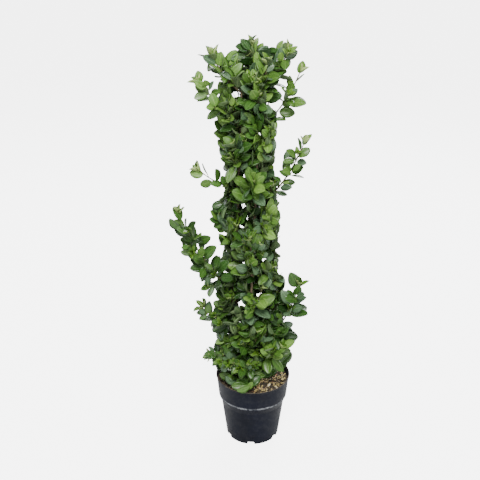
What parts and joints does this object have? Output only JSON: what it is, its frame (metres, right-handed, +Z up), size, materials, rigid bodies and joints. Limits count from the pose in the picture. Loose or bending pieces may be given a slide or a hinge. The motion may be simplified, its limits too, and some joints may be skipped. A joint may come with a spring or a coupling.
{
  "type": "tree ceanothus in a nursery pot",
  "caption": "Tall narrow evergreen shrub with small oval glossy leaves, a leafy column round upright stems with a few long side shoots, in a round black nursery pot.",
  "frame": {"origin": "middle of the pot's flat underside, at the level it stands on", "axes": "+Z up along the trunk and the leafy column; -Y faces the viewer of the picture"},
  "size_m": [0.3644, 0.2836, 1.109],
  "materials": {
    "pot": "matte moulded black plastic with a pale scuffed line under the collar",
    "soil": "dark potting mix under tan wood chips",
    "bark": "smooth brown bark, greener towards the tips",
    "foliage": "glossy dark green leaves, light green on young growth"
  },
  "bodies": {
    "root": {"back_high": "foliage", "back_long": "foliage", "back_low": "foliage", "bough_back_long": "bark", "bough_left_long": "bark", "bough_right_long": "bark", "bough_right_low": "bark", "front_foot": "foliage", "front_low": "foliage", "front_mid": "foliage", "leader_back": "bark", "leader_front": "bark", "leader_left": "bark", "leader_right": "bark", "left_drooping": "foliage", "left_foot": "foliage", "left_high": "foliage", "left_long": "foliage", "left_low": "foliage", "left_upper": "foliage", "pot": "pot", "right_foot": "foliage", "right_high": "foliage", "right_long": "foliage", "right_low": "foliage", "shoot_back_1": "foliage", "shoot_back_2": "foliage", "shoot_back_3": "foliage", "shoot_back_4": "foliage", "shoot_back_5": "foliage", "shoot_back_6": "foliage", "shoot_back_7": "foliage", "shoot_front_1": "foliage", "shoot_front_2": "foliage", "shoot_front_3": "foliage", "shoot_front_4": "foliage", "shoot_front_5": "foliage", "shoot_front_6": "foliage", "shoot_front_7": "foliage", "shoot_left_1": "foliage", "shoot_left_2": "foliage", "shoot_left_3": "foliage", "shoot_left_4": "foliage", "shoot_left_5": "foliage", "shoot_left_6": "foliage", "shoot_left_7": "foliage", "shoot_right_1": "foliage", "shoot_right_2": "foliage", "shoot_right_3": "foliage", "shoot_right_4": "foliage", "shoot_right_5": "foliage", "shoot_right_6": "foliage", "shoot_right_7": "foliage", "soil": "soil", "top_back": "foliage", "top_front": "foliage", "top_left": "foliage", "top_right": "foliage", "trunk": "bark"}
  },
  "joints": []
}
